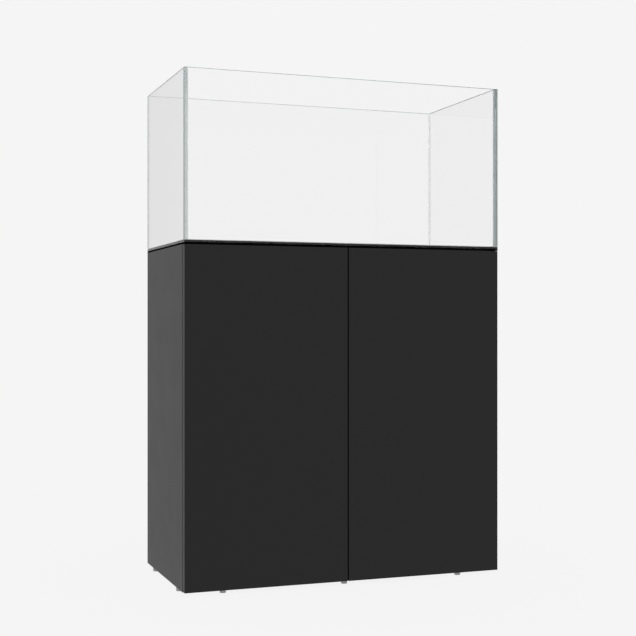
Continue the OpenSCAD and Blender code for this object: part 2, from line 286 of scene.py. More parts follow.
def laminate():
    """Melamine-faced board, black, pressed with a fine pearl: nearly black, with a satin sheen
    that brightens at a glancing angle. The 0.4 mm pearl is drawn at 1.1 mm, so that it shows."""
    s = settings()
    material, tree, shader = new_material("melamine faced board black", IOR=1.42)
    pearl = grain(tree, s.pearl, detail=2)
    clouds = grain(tree, 90 * MM, detail=2)
    vary_roughness(tree, shader, clouds, s.laminate_roughness - 0.01, s.laminate_roughness + 0.015)
    vary_colour(tree, shader, clouds, shade(s.laminate, 0.95), shade(s.laminate, 1.05))
    raise_bump(tree, shader, pearl.outputs["Fac"], 0.06 * MM, 0.35)
    return material


def edge_band():
    """ABS edge band, 1 mm, glued on and trimmed: a touch smoother and darker than the faces,
    with faint scraper marks along it."""
    s = settings()
    material, tree, shader = new_material("ABS edge band black", IOR=1.42)
    marks = grain(tree, 2 * MM, detail=2, stretch=(1, 1, 0.04))
    vary_roughness(tree, shader, marks, s.laminate_roughness - 0.04, s.laminate_roughness + 0.02)
    vary_colour(tree, shader, marks, shade(s.laminate, 0.8), shade(s.laminate, 1.0))
    raise_bump(tree, shader, marks.outputs["Fac"], 0.03 * MM, 0.3)
    return material


def hardboard():
    """Lacquered hardboard: matt black with the short fibres of the board, 2 mm long, showing."""
    s = settings()
    material, tree, shader = new_material("lacquered hardboard black", IOR=1.5)
    fibres = grain(tree, 1.6 * MM, detail=6, stretch=(1, 1, 0.35))
    clouds = grain(tree, 60 * MM, detail=3)
    vary_roughness(tree, shader, fibres, 0.5, 0.68)
    vary_colour(tree, shader, clouds, shade(s.laminate, 1.0), shade(s.laminate, 1.7))
    raise_bump(tree, shader, fibres.outputs["Fac"], 0.12 * MM, 0.5)
    return material


def chipboard():
    """Raw particle board where a bore is cut: straw-coloured chips of 2 to 4 mm."""
    material, tree, shader = new_material("particle board raw", IOR=1.5)
    chips = grain(tree, 3 * MM, detail=5)
    vary_roughness(tree, shader, chips, 0.75, 0.95)
    vary_colour(tree, shader, chips, hex_colour("#7d6543"), hex_colour("#c9ab7c"))
    raise_bump(tree, shader, chips.outputs["Fac"], 0.3 * MM, 0.6)
    return material


def clear_glass(name="low iron float glass", shine=0.5, tint=None):
    """Low-iron float glass: colourless face on, its faint green held back to the edges, with
    the barely felt waves that the float bath draws in it, 70 mm apart."""
    material, tree, shader = new_material(
        name,
        Base_Color=tint or settings().glass,
        Roughness=0.0,
        IOR=1.52,
        Specular_IOR_Level=shine,
        Transmission_Weight=1.0,
    )
    draw = grain(tree, 70 * MM, detail=1, stretch=(1, 1, 0.3))
    raise_bump(tree, shader, draw.outputs["Fac"], 0.01 * MM, 0.3)
    return material


def edge_glass(name="polished glass edge", through=0.3, tone=1.0):
    """Polished edge of float glass: the light that runs along the pane leaves here,
    so the edge reads as a soft sea green."""
    s = settings()
    material, tree, shader = new_material(
        name, IOR=1.52, Transmission_Weight=through, Coat_Weight=0.4, Coat_Roughness=0.04
    )
    wheel = grain(tree, 1.2 * MM, detail=2)
    vary_roughness(tree, shader, wheel, 0.1, 0.22)
    vary_colour(
        tree, shader, wheel, shade(s.glass_edge, 0.95 * tone), shade(s.glass_edge, 1.05 * tone)
    )
    return material


def silicone():
    """Clear aquarium silicone, tooled with a wet finger: milky, soft gloss, slight waves."""
    s = settings()
    material, tree, shader = new_material(
        "clear tooled silicone",
        IOR=1.41,
        Transmission_Weight=0.95,
        Alpha=0.4,
    )
    waves = grain(tree, 14 * MM, detail=2)
    vary_roughness(tree, shader, waves, 0.05, 0.14)
    vary_colour(tree, shader, waves, shade(s.silicone, 0.95), shade(s.silicone, 1.05))
    raise_bump(tree, shader, waves.outputs["Fac"], 0.25 * MM, 0.3)
    return material


def foam():
    """Closed-cell foam: dull black, its 0.6 mm cut cells drawn at 0.9 mm."""
    s = settings()
    material, tree, shader = new_material("closed cell foam black", Specular_IOR_Level=0.0)
    place = add_node(tree, "ShaderNodeTexCoord")
    cells = add_node(
        tree,
        "ShaderNodeTexVoronoi",
        {"Vector": place.outputs["Object"], "Scale": 1 / (0.9 * MM)},
    )
    soft = grain(tree, 8 * MM)
    vary_roughness(tree, shader, soft, 0.85, 0.98)
    vary_colour(tree, shader, soft, shade(s.foam, 0.8), shade(s.foam, 1.3))
    raise_bump(tree, shader, cells.outputs["Distance"], 0.3 * MM, 0.7)
    return material


def moulded(name, colour, roughness=0.42):
    """Moulded plastic: even colour with a fine spark-eroded grain of 0.3 mm, drawn at 0.7 mm."""
    material, tree, shader = new_material(name, IOR=1.49)
    grit = grain(tree, 0.7 * MM, detail=3)
    clouds = grain(tree, 12 * MM)
    vary_roughness(tree, shader, grit, roughness - 0.06, roughness + 0.08)
    vary_colour(tree, shader, clouds, shade(colour, 0.92), shade(colour, 1.08))
    raise_bump(tree, shader, grit.outputs["Fac"], 0.04 * MM, 0.35)
    return material


def gel():
    """Clear polyurethane dot: a soft, glassy bumper that yellows a little."""
    material, tree, shader = new_material("clear polyurethane", IOR=1.5, Transmission_Weight=0.85)
    haze = grain(tree, 2 * MM)
    vary_roughness(tree, shader, haze, 0.08, 0.2)
    vary_colour(tree, shader, haze, hex_colour("#e6e6de"), hex_colour("#f4f4f0"))
    return material


def metal(name, dark, light, low, high, size, stretch=(1, 1, 1)):
    """Plated or cast metal: its tone and polish drift over blotches of the given size."""
    material, tree, shader = new_material(name, Metallic=1.0)
    tone = grain(tree, size, detail=4, stretch=stretch)
    scuff = grain(tree, size * 0.35, detail=5)
    vary_roughness(tree, shader, scuff, low, high)
    vary_colour(tree, shader, tone, hex_colour(dark), hex_colour(light))
    raise_bump(tree, shader, scuff.outputs["Fac"], 0.02 * MM, 0.12)
    return material


FINISHES = {}


def finish_for(slot):
    """The material for one of the record's slots, made once."""
    if slot not in FINISHES:
        s = settings()
        FINISHES[slot] = {
            "black_laminate": laminate,
            "edge_band": edge_band,
            "black_backboard": hardboard,
            "raw_board": chipboard,
            "low_iron_glass": clear_glass,
            "glass_edge": edge_glass,
            # The rim is polished finer than the upright edges and lets more light through. Its
            # colour is also painted a tenth lighter than theirs: painted light on the panes' top
            # edges
            "glass_rim": lambda: edge_glass("polished glass rim", 0.7, 1.1),
            # Edge of the base pane: the black mat below shows in it and little else
            "base_edge": lambda: clear_glass("float glass over black mat", 0.15),
            # The same edge where it is bonded: the silicone wets it, so it is clear
            "bonded_glass_edge": lambda: clear_glass("bonded glass edge", 0.1, s.bonded_edge),
            # Painted light: the left pane's bonded ends get a paler tint than the same glass on the
            # right pane, because from the left they are seen more nearly along the pane and look
            # brighter
            "bonded_edge_painted_paler": lambda: clear_glass("bonded glass edge pale", 0.1, s.painted_light_edge),
            "clear_silicone": silicone,
            "foam_mat": foam,
            "clear_bumper_gel": gel,
            # Nickel plate over pressed steel: warm and bright, faint drawing marks
            "nickel_plated_steel": lambda: metal(
                "nickel plated steel", "#c2bdb4", "#d6d2ca", 0.24, 0.36, 6 * MM, (1, 1, 0.3)
            ),
            # Bright zinc plate: bluish white and slightly cloudy
            "zinc_plated_steel": lambda: metal(
                "bright zinc plated steel", "#a9abac", "#c8cacc", 0.3, 0.44, 3 * MM
            ),
            # Zinc die casting, bare: grey and matt, with the mould's skin
            "cast_zinc": lambda: metal(
                "zinc die casting", "#85868a", "#a3a4a8", 0.42, 0.6, 1.5 * MM
            ),
            "black_port_plastic": lambda: moulded("ABS black", hex_colour("#17181a"), 0.4),
            "grey_latch_plastic": lambda: moulded("acetal dark grey", hex_colour("#46484b")),
            "pale_latch_plastic": lambda: moulded("acetal pale grey", hex_colour("#b9babb"), 0.34),
            "grey_glide_plastic": lambda: moulded("polyethylene grey", s.glide, 0.46),
        }[slot]()
    return FINISHES[slot]


# ---- shapes ----


def box_mesh(low, high):
    bm = bmesh.new()
    bmesh.ops.create_cube(bm, size=1)
    low, high = Vector(low), Vector(high)
    size = high - low
    bmesh.ops.scale(bm, vec=size, verts=bm.verts)
    bmesh.ops.translate(bm, vec=(low + high) / 2, verts=bm.verts)
    return bm


def panel_piece(node, radius, band_line=True):
    """A board as it leaves the edge bander: laminate faces, ABS bands on its edges with a
    small radius, and raw board inside its bores."""
    bm = merged_copy(node)
    low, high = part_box(node)
    size = high - low
    thin = min(range(3), key=lambda i: size[i])

    def on_box(point, axis):
        return min(abs(point[axis] - low[axis]), abs(point[axis] - high[axis])) < 0.01 * MM

    for face in bm.faces:
        axis = max(range(3), key=lambda i: abs(face.normal[i]))
        outside = on_box(face.calc_center_median(), axis) and abs(face.normal[axis]) > 0.99
        if not outside:
            face.material_index = BOARD_RAW
        else:
            face.material_index = BOARD_FACE if axis == thin else BOARD_BAND
    corners = [
        edge
        for edge in bm.edges
        if sum(all(on_box(v.co, i) for v in edge.verts) for i in range(3)) >= 2
        and len(edge.link_faces) == 2
        and edge.link_faces[0].normal.angle(edge.link_faces[1].normal) > 0.5
    ]
    bmesh.ops.bevel(
        bm,
        geom=corners,
        offset=radius,
        segments=3,
        profile=0.5,
        affect="EDGES",
        material=BOARD_BAND,
    )
    if band_line:
        # Only a whole face without bores can show the band's thickness round it
        whole = 0.1 * size.length**2
        plain = [
            f
            for f in bm.faces
            if f.material_index == BOARD_FACE and len(f.verts) == 4 and f.calc_area() > whole
        ]
        ring = bmesh.ops.inset_individual(bm, faces=plain, thickness=settings().band)
        for face in ring["faces"]:
            face.material_index = BOARD_BAND
    bm.normal_update()
    slot = slot_of_node(node)
    obj = mesh_object(
        node + "_panel", bm, finish_for(slot), finish_for("edge_band"), finish_for("raw_board")
    )
    return finish_piece(obj, body_of_node(node), slot, node)


def pane_piece(node, low, high, edge_axes, bonded_axis=None, dark_base=False):
    """A pane with arrissed edges. edge_axes are the axes whose end faces show as green edges,
    bonded_axis the one whose end faces are glued to another pane."""
    bm = box_mesh(low, high)
    for face in bm.faces:
        axis = max(range(3), key=lambda i: abs(face.normal[i]))
        downward = face.normal.z < -0.9
        if dark_base:
            face.material_index = MAT if downward else FACE if axis == 2 else BASE_EDGE
        elif axis in edge_axes and not downward:
            face.material_index = EDGE
        else:
            face.material_index = BONDED if axis == bonded_axis else FACE
    # A wall's foot is bonded, so it has no arris
    free = [e for e in bm.edges if dark_base or max(v.co.z for v in e.verts) > low.z + 1 * MM]
    bmesh.ops.bevel(
        bm,
        geom=free,
        offset=settings().arris,
        segments=1,
        affect="EDGES",
        material=EDGE if edge_axes else FACE,
    )
    if edge_axes:
        for face in bm.faces:
            if face.calc_center_median().z > high.z - settings().arris:
                face.material_index = RIM
    obj = mesh_object(node + "_pane", bm, *[finish_for(name) for name in PANE_FINISHES])
    # Only the left pane has its bonded ends in the paler tint, which is painted light
    if node == "tank_left":
        obj.data.materials[BONDED] = finish_for("bonded_edge_painted_paler")
    return finish_piece(obj, body_of_node(node), slot_of_node(node), node)


def softened(node, width, suffix, segments=2):
    """A pressed, cast or moulded fitting: the CAD node's own shape, its sharp edges rounded."""
    bm = merged_copy(node)
    slot = slot_of_node(node)
    obj = mesh_object(node + suffix, bm, finish_for(slot))
    for polygon in obj.data.polygons:
        polygon.use_smooth = True
    bevel = obj.modifiers.new("rounded edges", "BEVEL")
    bevel.width = width
    bevel.segments = segments
    bevel.limit_method = "ANGLE"
    bevel.angle_limit = math.radians(SHARP)
    bevel.use_clamp_overlap = True
    bevel.harden_normals = True
    applied(obj)
    return finish_piece(obj, body_of_node(node), slot, node)


def lathe(profile, steps):
    """A closed bmesh turned about Z from (radius, height) pairs that start and end on the axis."""
    bm = bmesh.new()
    turns = [2 * math.pi * i / steps for i in range(steps)]
    rings = []
    for radius, height in profile:
        if radius == 0:
            places = [(0, 0, height)]
        else:
            places = [(radius * math.cos(t), radius * math.sin(t), height) for t in turns]
        rings.append([bm.verts.new(place) for place in places])
    for lower, upper in zip(rings, rings[1:]):
        for i in range(steps):
            j = (i + 1) % steps
            corners = [
                lower[i % len(lower)],
                lower[j % len(lower)],
                upper[j % len(upper)],
                upper[i % len(upper)],
            ]
            # A ring that is one point on the axis gives a triangle
            unique = list(dict.fromkeys(corners))
            if len(unique) > 2:
                bm.faces.new(unique)
    bmesh.ops.recalc_face_normals(bm, faces=bm.faces)
    return bm


# ---- repeated fittings, by geometry nodes ----


def copies_tree():
    """Places one fitting at every point of a mesh: its inputs are the fitting, its turn, its
    scale and its material."""
    tree = bpy.data.node_groups.new("fittings_at_places", "GeometryNodeTree")
    face = tree.interface
    face.new_socket("Places", in_out="INPUT", socket_type="NodeSocketGeometry")
    face.new_socket("Fitting", in_out="INPUT", socket_type="NodeSocketObject")
    face.new_socket("Turn", in_out="INPUT", socket_type="NodeSocketRotation")
    face.new_socket("Scale", in_out="INPUT", socket_type="NodeSocketVector")
    face.new_socket("Random Turn", in_out="INPUT", socket_type="NodeSocketFloat")
    face.new_socket("Seed", in_out="INPUT", socket_type="NodeSocketInt")
    face.new_socket("Material", in_out="INPUT", socket_type="NodeSocketMaterial")
    face.new_socket("Fittings", in_out="OUTPUT", socket_type="NodeSocketGeometry")
    given = add_node(tree, "NodeGroupInput").outputs
    points = add_node(tree, "GeometryNodeMeshToPoints", {"Mesh": given["Places"]})
    fitting = add_node(tree, "GeometryNodeObjectInfo", {"Object": given["Fitting"]})
    # Each screw stops at its own angle about its axis
    least = add_node(
        tree, "ShaderNodeMath", {0: given["Random Turn"], 1: -1.0}, operation="MULTIPLY"
    )
    angle = add_node(
        tree,
        "FunctionNodeRandomValue",
        {2: least.outputs[0], 3: given["Random Turn"], "Seed": given["Seed"]},
    )
    spin = add_node(tree, "ShaderNodeCombineXYZ", {"Z": angle.outputs[1]})
    spun = add_node(tree, "FunctionNodeEulerToRotation", {"Euler": spin.outputs[0]})
    both = add_node(tree, "FunctionNodeRotateRotation", {0: spun.outputs[0], 1: given["Turn"]})
    placed = add_node(
        tree,
        "GeometryNodeInstanceOnPoints",
        {
            "Points": points.outputs[0],
            "Instance": fitting.outputs["Geometry"],
            "Rotation": both.outputs[0],
            "Scale": given["Scale"],
        },
    )
    real = add_node(tree, "GeometryNodeRealizeInstances", {0: placed.outputs[0]})
    painted = add_node(
        tree,
        "GeometryNodeSetMaterial",
        {"Geometry": real.outputs[0], "Material": given["Material"]},
    )
    add_node(tree, "NodeGroupOutput", {0: painted.outputs[0]})
    return tree


def bead_tree():
    """A tooled bead along every run of a path: its section is a corner with a concave face.
    Its inputs are the path, the section, the bead's reach, how much the tooling wavers, the seed
    of that and the material."""
    tree = bpy.data.node_groups.new("bead_along_path", "GeometryNodeTree")
    face = tree.interface
    face.new_socket("Path", in_out="INPUT", socket_type="NodeSocketGeometry")
    face.new_socket("Section", in_out="INPUT", socket_type="NodeSocketObject")
    face.new_socket("Reach", in_out="INPUT", socket_type="NodeSocketFloat")
    face.new_socket("Waver", in_out="INPUT", socket_type="NodeSocketFloat")
    face.new_socket("Seed", in_out="INPUT", socket_type="NodeSocketFloat")
    face.new_socket("Material", in_out="INPUT", socket_type="NodeSocketMaterial")
    face.new_socket("Bead", in_out="OUTPUT", socket_type="NodeSocketGeometry")
    given = add_node(tree, "NodeGroupInput").outputs
    path = add_node(tree, "GeometryNodeMeshToCurve", {"Mesh": given["Path"]})
    upright = add_node(tree, "GeometryNodeSetCurveNormal", {"Curve": path.outputs[0]}, mode="Z_UP")
    tilt = add_node(tree, "GeometryNodeInputNamedAttribute", {"Name": "tilt"}, data_type="FLOAT")
    turned = add_node(
        tree,
        "GeometryNodeSetCurveTilt",
        {"Curve": upright.outputs[0], "Tilt": tilt.outputs["Attribute"]},
    )
    fine = add_node(
        tree,
        "GeometryNodeResampleCurve",
        {"Curve": turned.outputs[0], "Length": 12 * MM},
        mode="LENGTH",
    )
    waves = add_node(
        tree,
        "ShaderNodeTexNoise",
        {"W": given["Seed"], "Scale": 1 / (60 * MM), "Detail": 2.0},
        noise_dimensions="4D",
    )
    centred = add_node(
        tree, "ShaderNodeMath", {0: waves.outputs["Fac"], 1: 0.5}, operation="SUBTRACT"
    )
    size = add_node(
        tree,
        "ShaderNodeMath",
        {0: centred.outputs[0], 1: given["Waver"], 2: 1.0},
        operation="MULTIPLY_ADD",
    )
    sized = add_node(
        tree, "GeometryNodeSetCurveRadius", {"Curve": fine.outputs[0], "Radius": size.outputs[0]}
    )
    shape = add_node(tree, "GeometryNodeObjectInfo", {"Object": given["Section"]})
    outline = add_node(tree, "GeometryNodeMeshToCurve", {"Mesh": shape.outputs["Geometry"]})
    reach = add_node(
        tree,
        "ShaderNodeCombineXYZ",
        {"X": given["Reach"], "Y": given["Reach"], "Z": given["Reach"]},
    )
    section = add_node(
        tree,
        "GeometryNodeTransform",
        {"Geometry": outline.outputs[0], "Scale": reach.outputs[0]},
    )
    drawn = add_node(
        tree,
        "GeometryNodeCurveToMesh",
        {"Curve": sized.outputs[0], "Profile Curve": section.outputs[0], "Fill Caps": True},
    )
    real = add_node(tree, "GeometryNodeRealizeInstances", {0: drawn.outputs[0]})
    painted = add_node(
        tree,
        "GeometryNodeSetMaterial",
        {"Geometry": real.outputs[0], "Material": given["Material"]},
    )
    add_node(tree, "NodeGroupOutput", {0: painted.outputs[0]})
    return tree


def beads(name, node, runs, reach, seed):
    """Beads along runs of (start, end, tilt), as one piece that stands for a CAD node."""
    # Section one unit wide: a corner with a concave quarter round as its face
    steps = 8
    turns = [math.pi / 2 * i / steps for i in range(steps + 1)]
    outline = [(0, 0, 0)] + [(1 - math.sin(turn), 1 - math.cos(turn), 0) for turn in turns]
    mesh = bpy.data.meshes.new("bead_section")
    mesh.from_pydata(outline, [(i, (i + 1) % len(outline)) for i in range(len(outline))], [])
    section = bpy.data.objects.new("bead_section", mesh)
    bpy.context.scene.collection.objects.link(section)

    mesh = bpy.data.meshes.new(name)
    ends = [point for start, end, _ in runs for point in (start, end)]
    mesh.from_pydata(ends, [(2 * i, 2 * i + 1) for i in range(len(runs))], [])
    tilt = mesh.attributes.new("tilt", "FLOAT", "POINT")
    tilt.data.foreach_set("value", [turn for _, _, turn in runs for _ in range(2)])
    obj = bpy.data.objects.new(name, mesh)
    bpy.context.scene.collection.objects.link(obj)
    values = {
        "Section": section,
        "Reach": reach,
        "Waver": 0.3,
        "Seed": float(seed),
        "Material": finish_for(slot_of_node(node)),
    }
    run_tree(obj, bead_tree(), values)
    remove_master(section)
    bm = bmesh.new()
    bm.from_mesh(obj.data)
    bmesh.ops.recalc_face_normals(bm, faces=bm.faces)
    bm.to_mesh(obj.data)
    bm.free()
    for polygon in obj.data.polygons:
        polygon.use_smooth = True
    obj.data.set_sharp_from_angle(angle=math.radians(40))
    return finish_piece(obj, body_of_node(node), slot_of_node(node), node)


def run_tree(obj, tree, values):
    """Evaluates a node tree on an object with the given named inputs, into plain mesh."""
    modifier = obj.modifiers.new(tree.name, "NODES")
    modifier.node_group = tree
    for item in tree.interface.items_tree:
        if item.in_out == "INPUT" and item.name in values:
            modifier[item.identifier] = values[item.name]
    return applied(obj)


def solid_boxes(node):
    """Low and high corner of each separate solid of a CAD node, in a fixed order."""
    bm = merged_mesh(node)
    left, found = set(bm.verts), []
    while left:
        stack, island = [left.pop()], []
        while stack:
            vert = stack.pop()
            island.append(vert.co.copy())
            for edge in vert.link_edges:
                other = edge.other_vert(vert)
                if other in left:
                    left.discard(other)
                    stack.append(other)
        low = Vector([min(p[i] for p in island) for i in range(3)])
        high = Vector([max(p[i] for p in island) for i in range(3)])
        found.append((low, high))
    bm.free()
    return sorted(found, key=lambda pair: tuple(round(v, 5) for v in pair[0]))


def fittings(name, node, master, places, turn=(0, 0, 0), spin=0.0, seed=1):
    """Copies of master at places, as one piece that stands for a CAD node."""
    if "fittings_at_places" not in bpy.data.node_groups:
        copies_tree()
    tree = bpy.data.node_groups["fittings_at_places"]
    mesh = bpy.data.meshes.new(name)
    mesh.from_pydata([tuple(p) for p in places], [], [])
    obj = bpy.data.objects.new(name, mesh)
    bpy.context.scene.collection.objects.link(obj)
    slot = slot_of_node(node)
    values = {
        "Fitting": master,
        "Turn": turn,
        "Scale": (1.0, 1.0, 1.0),
        "Random Turn": spin,
        "Seed": seed,
        "Material": finish_for(slot),
    }
    run_tree(obj, tree, values)
    return finish_piece(obj, body_of_node(node), slot, node)


def hidden_master(name, bm):
    """A fitting made once, for the node trees to copy. It is removed at the end."""
    obj = mesh_object(name, bm)
    for polygon in obj.data.polygons:
        polygon.use_smooth = True
    obj.data.set_sharp_from_angle(angle=math.radians(SHARP))
    return obj


def remove_master(obj):
    mesh = obj.data
    bpy.data.objects.remove(obj)
    bpy.data.meshes.remove(mesh)


# ---- what a user may change ----


class AquariumSettings(bpy.types.PropertyGroup):
    """Sizes and colours of the finishes."""

    arris: length_property("Glass arris", "Width of the ground arris on each pane's edges", 0.8)
    panel_edge: length_property("Panel edge", "Radius of the panels' banded edges", 0.7)
    band: length_property("Edge band", "Thickness of the edge band that shows on a face", 1.0)
    pearl: length_property("Pearl", "Size of the laminate's pressed pearl as drawn", 1.1)
    fitting_edge: length_property("Fitting edge", "Radius of the metal fittings' edges", 0.25)
    bead: length_property("Silicone bead", "Reach of the silicone fillet on each pane", 3.0)
    laminate_roughness: factor_property("Laminate roughness", "Roughness of the board's face", 0.4)
    laminate: colour_property("Laminate", "Colour of the melamine face", "#0d0d0e")
    foam: colour_property("Foam", "Colour of the levelling mat", "#070707")
    glass: colour_property("Glass", "Tint of the panes face on", "#fefefe")
    glass_edge: colour_property("Glass edge", "Colour of the panes' polished edges", "#cfe4e1")
    bonded_edge: colour_property("Bonded edge", "Tint of the glass seen along a pane", "#e2efed")
    # Painted light: a paler tint for the left pane's bonded ends than for the same glass on the
    # right pane
    painted_light_edge: colour_property("Painted light edge", "Tint of the glass seen along the left pane", "#fbfdfd")
    silicone: colour_property("Silicone", "Colour of the clear silicone", "#eef3f2")
    glide: colour_property("Glide", "Colour of the glides", "#b2b3b3")
    backdrop: colour_property("Backdrop", "Colour of the floor and the room", "#f5f5f5")
    front_light: factor_property(
        "Front light", "Brightness of the room in front, as lit surfaces meet it", 0.75
    )
    back_light: factor_property(
        "Back light", "Brightness of the room behind, as lit surfaces meet it", 0.64
    )
    inner_light: factor_property(
        "Inner light", "Share of the brightness kept by light mirrored inside the glass", 0.5
    )


class PieceOperator(bpy.types.Operator):
    """Shared settings of the operators that make pieces."""

    bl_options = {"REGISTER", "UNDO"}


class AQUARIUM_OT_panels(PieceOperator):
    """Make the carcass, shelves and doors as edge-banded boards"""

    bl_idname = "aquarium.panels"
    bl_label = "Panels and doors"

    def execute(self, context):
        radius = context.scene.aquarium.panel_edge
        for node in ("bottom_panel", "top_panel", "centre_divider"):
            panel_piece(node, radius)
        for side in SIDES:
            for part in ("side", "shelf", "door"):
                panel_piece(f"{side}_{part}", radius)
        panel_piece("back_panel", 0.3 * MM, band_line=False)
        return {"FINISHED"}


class AQUARIUM_OT_panes(PieceOperator):
    """Make the five glass panes"""

    bl_idname = "aquarium.panes"
    bl_label = "Glass panes"

    def execute(self, context):
        for node in ("tank_front", "tank_back"):
            pane_piece(node, *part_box(node), edge_axes=(0, 2))
        for node in ("tank_left", "tank_right"):
            pane_piece(node, *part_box(node), edge_axes=(2,), bonded_axis=1)
        low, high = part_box("tank_base")
        low = low + Vector((0, 0, CLEARANCE))
        pane_piece("tank_base", low, high, edge_axes=(), dark_base=True)
        return {"FINISHED"}


class AQUARIUM_OT_seams(PieceOperator):
    """Make the silicone bonds and the tooled fillets inside the tank"""

    bl_idname = "aquarium.seams"
    bl_label = "Silicone seams"

    def execute(self, context):
        bead = context.scene.aquarium.bead
        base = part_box("tank_base")[1].z
        front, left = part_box("tank_front"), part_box("tank_left")
        x_out, y_out = front[1].x, -front[0].y
        x_in, y_in = -left[1].x, -front[1].y
        wall_foot, rim = front[0].z, front[1].z
        bond = y_in - left[1].y
        # Bonds: under each wall, and up each corner between the long panes and the end panes
        below_rim = 1 * MM
        pieces = []
        for sx in (-1, 1):
            pieces.append(((-x_out, sx * y_in, base), (x_out, sx * y_out, wall_foot)))
            pieces.append(((sx * x_in, -y_in, base), (sx * x_out, y_in, wall_foot)))
            for sy in (-1, 1):
                foot = (sx * x_in, sy * (y_in - bond), wall_foot)
                pieces.append((foot, (sx * x_out, sy * y_in, rim - below_rim)))
        bm = bmesh.new()
        for a, b in pieces:
            low = Vector([min(p, q) + CLEARANCE for p, q in zip(a, b)])
            high = Vector([max(p, q) - CLEARANCE for p, q in zip(a, b)])
            strip = box_mesh(low, high)
            joined = bpy.data.meshes.new("strip")
            strip.to_mesh(joined)
            strip.free()
            bm.from_mesh(joined)
            bpy.data.meshes.remove(joined)
        obj = mesh_object("silicone_bonds", bm, finish_for("clear_silicone"))
        finish_piece(obj, "cabinet", "clear_silicone", "tank_seams")

        # Fillets: up each inner corner to just below the rim, then round the floor
        below_rim = 6 * MM
        x, y, z = x_in - CLEARANCE, y_in - CLEARANCE, base + CLEARANCE
        feet = [(sx * x, sy * y, z) for sx, sy in ((-1, -1), (1, -1), (1, 1), (-1, 1))]
        runs = [
            (foot, (foot[0], foot[1], rim - below_rim), math.pi / 2 * i)
            for i, foot in enumerate(feet)
        ]
        runs += [(foot, feet[(i + 1) % 4], math.pi) for i, foot in enumerate(feet)]
        beads("silicone_fillets", "tank_seams", runs, bead, seed=4)
        return {"FINISHED"}


class AQUARIUM_OT_mat(PieceOperator):
    """Make the foam levelling mat, its cut edges slightly pressed out"""

    bl_idname = "aquarium.mat"
    bl_label = "Levelling mat"

    def execute(self, context):
        low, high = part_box("levelling_mat")
        bm = box_mesh(low, high)
        level = [e for e in bm.edges if abs(e.verts[0].co.z - e.verts[1].co.z) < SAME_PLACE]
        bmesh.ops.bevel(bm, geom=level, offset=0.7 * MM, segments=3, profile=0.6, affect="EDGES")
        obj = mesh_object("levelling_mat_foam", bm, finish_for("foam_mat"))
        finish_piece(obj, "cabinet", "foam_mat", "levelling_mat")
        return {"FINISHED"}


class AQUARIUM_OT_hardware(PieceOperator):
    """Round off the hinges, latches and port rings"""

    bl_idname = "aquarium.hardware"
    bl_label = "Hinges, latches and ports"

    def execute(self, context):
        edge = context.scene.aquarium.fitting_edge
        for side in SIDES:
            for part in ("hinge_cups", "hinge_links", "hinge_arms", "hinge_plates"):
                softened(f"{side}_{part}", edge, "_pressed")
            for part, radius, made, segments in SIDE_FITTINGS:
                softened(f"{side}_{part}", radius * MM, made, segments)
        softened("shelf_pins", 0.4 * MM, "_pressed")
        return {"FINISHED"}


def screw_master(name, shank, head, head_height, length, recess):
    """A screw on Z, its head's top at zero: shank, countersunk or pan head and a cross recess."""
    # From the tip up: point, shank, the cone under the head, its rim and its crown
    profile = [
        (0, -length),
        (shank * 0.35, -length + shank * 0.6),
        (shank, -length + shank * 2.5),
        (shank, -head_height - 0.01 * MM),
        (head, -head_height * 0.35),
        (head, -head_height * 0.12),
        (head * 0.92, 0),
        (recess * 1.25, 0),
    ]
    bm = lathe([*profile, (0, 0)], steps=24)
    # Cross recess: the middle of the head is sunk, least between the cross's four arms
    middle = [f for f in bm.faces if f.calc_center_median().length < recess]
    bmesh.ops.delete(bm, geom=middle, context="FACES")
    rim = [e for e in bm.edges if e.is_boundary]
    ring = sorted({v for e in rim for v in e.verts}, key=lambda v: math.atan2(v.co.y, v.co.x))
    cross = []
    count = len(ring)
    for i, vert in enumerate(ring):
        turn = math.atan2(vert.co.y, vert.co.x)
        arm = abs(math.cos(2 * turn)) ** 3
        reach = recess * (0.32 + 0.68 * arm)
        cross.append(bm.verts.new((reach * math.cos(turn), reach * math.sin(turn), -0.02 * MM)))
    floor = [bm.verts.new((v.co.x * 0.55, v.co.y * 0.55, -head_height * 0.62)) for v in cross]
    for i in range(count):
        j = (i + 1) % count
        bm.faces.new((ring[i], ring[j], cross[j], cross[i]))
        bm.faces.new((cross[i], cross[j], floor[j], floor[i]))
    bm.faces.new(floor)
    bmesh.ops.recalc_face_normals(bm, faces=bm.faces)
    return hidden_master(name + "_master", bm)


def screw_set(name, node, sizes, axis, outward, turn, seed):
    """Screws along one axis, one for each solid of a CAD node, their heads at its outward end.
    sizes are the radius of the shank, the height of the head and the radius of the recess."""
    shank, head_height, recess = sizes
    found = solid_boxes(node)
    low, high = found[0]
    across = 0 if axis == 1 else 1
    head = (high[across] - low[across]) / 2
    master = screw_master(name, shank, head, head_height, high[axis] - low[axis], recess)
    places = []
    for low, high in found:
        place = (low + high) / 2
        place[axis] = high[axis] if outward > 0 else low[axis]
        places.append(place)
    fittings(name, node, master, places, turn=turn, spin=0.7, seed=seed)
    remove_master(master)


